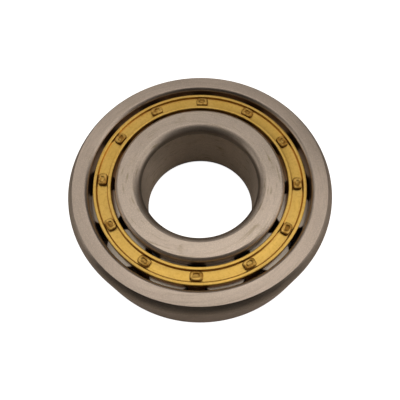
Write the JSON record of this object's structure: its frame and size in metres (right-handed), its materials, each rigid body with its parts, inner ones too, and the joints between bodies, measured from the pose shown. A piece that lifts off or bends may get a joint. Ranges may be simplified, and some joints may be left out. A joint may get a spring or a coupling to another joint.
{
  "type": "cylindrical roller bearing",
  "caption": "Single-row cylindrical roller bearing with a plain bore, one inner ring flange and a riveted two-piece brass cage.",
  "frame": {"origin": "on the shaft axis, in the plane of the lower side face of both rings", "axes": "+Z along the shaft axis towards the inner ring's flanged side; roller_01 stands on +X"},
  "size_m": [0.09, 0.09, 0.023],
  "materials": {
    "outer_ring_steel": "ground satin, warm grey",
    "inner_ring_steel": "ground satin, warm grey",
    "roller_steel": "fine ground, brighter than the rings",
    "cage_body_brass": "turned and bored, satin",
    "cage_cover_brass": "turned, satin"
  },
  "bodies": {
    "outer_ring": {"outer_ring": "outer_ring_steel"},
    "inner_ring": {"inner_ring": "inner_ring_steel"},
    "cage": {"cage_body": "cage_body_brass", "cage_cover": "cage_cover_brass"},
    "roller_01": {"roller_01": "roller_steel"},
    "roller_02": {"roller_02": "roller_steel"},
    "roller_03": {"roller_03": "roller_steel"},
    "roller_04": {"roller_04": "roller_steel"},
    "roller_05": {"roller_05": "roller_steel"},
    "roller_06": {"roller_06": "roller_steel"},
    "roller_07": {"roller_07": "roller_steel"},
    "roller_08": {"roller_08": "roller_steel"},
    "roller_09": {"roller_09": "roller_steel"},
    "roller_10": {"roller_10": "roller_steel"},
    "roller_11": {"roller_11": "roller_steel"},
    "roller_12": {"roller_12": "roller_steel"}
  },
  "joints": [
    {"name": "inner_ring_spin", "type": "hinge", "parent": "outer_ring", "child": "inner_ring", "pos_m": [0, 0, 0.0115], "axis": [0, 0, 1], "continuous": true},
    {"name": "cage_orbit", "type": "hinge", "parent": "outer_ring", "child": "cage", "pos_m": [0, 0, 0.0115], "axis": [0, 0, 1], "continuous": true},
    {"name": "roller_01_spin", "type": "hinge", "parent": "cage", "child": "roller_01", "pos_m": [0.033, 0, 0.0115], "axis": [0, 0, 1], "continuous": true},
    {"name": "roller_02_spin", "type": "hinge", "parent": "cage", "child": "roller_02", "pos_m": [0.02858, 0.0165, 0.0115], "axis": [0, 0, 1], "continuous": true},
    {"name": "roller_03_spin", "type": "hinge", "parent": "cage", "child": "roller_03", "pos_m": [0.0165, 0.02858, 0.0115], "axis": [0, 0, 1], "continuous": true},
    {"name": "roller_04_spin", "type": "hinge", "parent": "cage", "child": "roller_04", "pos_m": [0, 0.033, 0.0115], "axis": [0, 0, 1], "continuous": true},
    {"name": "roller_05_spin", "type": "hinge", "parent": "cage", "child": "roller_05", "pos_m": [-0.0165, 0.02858, 0.0115], "axis": [0, 0, 1], "continuous": true},
    {"name": "roller_06_spin", "type": "hinge", "parent": "cage", "child": "roller_06", "pos_m": [-0.02858, 0.0165, 0.0115], "axis": [0, 0, 1], "continuous": true},
    {"name": "roller_07_spin", "type": "hinge", "parent": "cage", "child": "roller_07", "pos_m": [-0.033, 0, 0.0115], "axis": [0, 0, 1], "continuous": true},
    {"name": "roller_08_spin", "type": "hinge", "parent": "cage", "child": "roller_08", "pos_m": [-0.02858, -0.0165, 0.0115], "axis": [0, 0, 1], "continuous": true},
    {"name": "roller_09_spin", "type": "hinge", "parent": "cage", "child": "roller_09", "pos_m": [-0.0165, -0.02858, 0.0115], "axis": [0, 0, 1], "continuous": true},
    {"name": "roller_10_spin", "type": "hinge", "parent": "cage", "child": "roller_10", "pos_m": [0, -0.033, 0.0115], "axis": [0, 0, 1], "continuous": true},
    {"name": "roller_11_spin", "type": "hinge", "parent": "cage", "child": "roller_11", "pos_m": [0.0165, -0.02858, 0.0115], "axis": [0, 0, 1], "continuous": true},
    {"name": "roller_12_spin", "type": "hinge", "parent": "cage", "child": "roller_12", "pos_m": [0.02858, -0.0165, 0.0115], "axis": [0, 0, 1], "continuous": true}
  ],
  "couplings": [
    {"joint": "cage_orbit", "follows": "inner_ring_spin", "ratio": 0.39394},
    {"joint": "roller_01_spin", "follows": "inner_ring_spin", "ratio": -2.2511},
    {"joint": "roller_02_spin", "follows": "inner_ring_spin", "ratio": -2.2511},
    {"joint": "roller_03_spin", "follows": "inner_ring_spin", "ratio": -2.2511},
    {"joint": "roller_04_spin", "follows": "inner_ring_spin", "ratio": -2.2511},
    {"joint": "roller_05_spin", "follows": "inner_ring_spin", "ratio": -2.2511},
    {"joint": "roller_06_spin", "follows": "inner_ring_spin", "ratio": -2.2511},
    {"joint": "roller_07_spin", "follows": "inner_ring_spin", "ratio": -2.2511},
    {"joint": "roller_08_spin", "follows": "inner_ring_spin", "ratio": -2.2511},
    {"joint": "roller_09_spin", "follows": "inner_ring_spin", "ratio": -2.2511},
    {"joint": "roller_10_spin", "follows": "inner_ring_spin", "ratio": -2.2511},
    {"joint": "roller_11_spin", "follows": "inner_ring_spin", "ratio": -2.2511},
    {"joint": "roller_12_spin", "follows": "inner_ring_spin", "ratio": -2.2511}
  ]
}
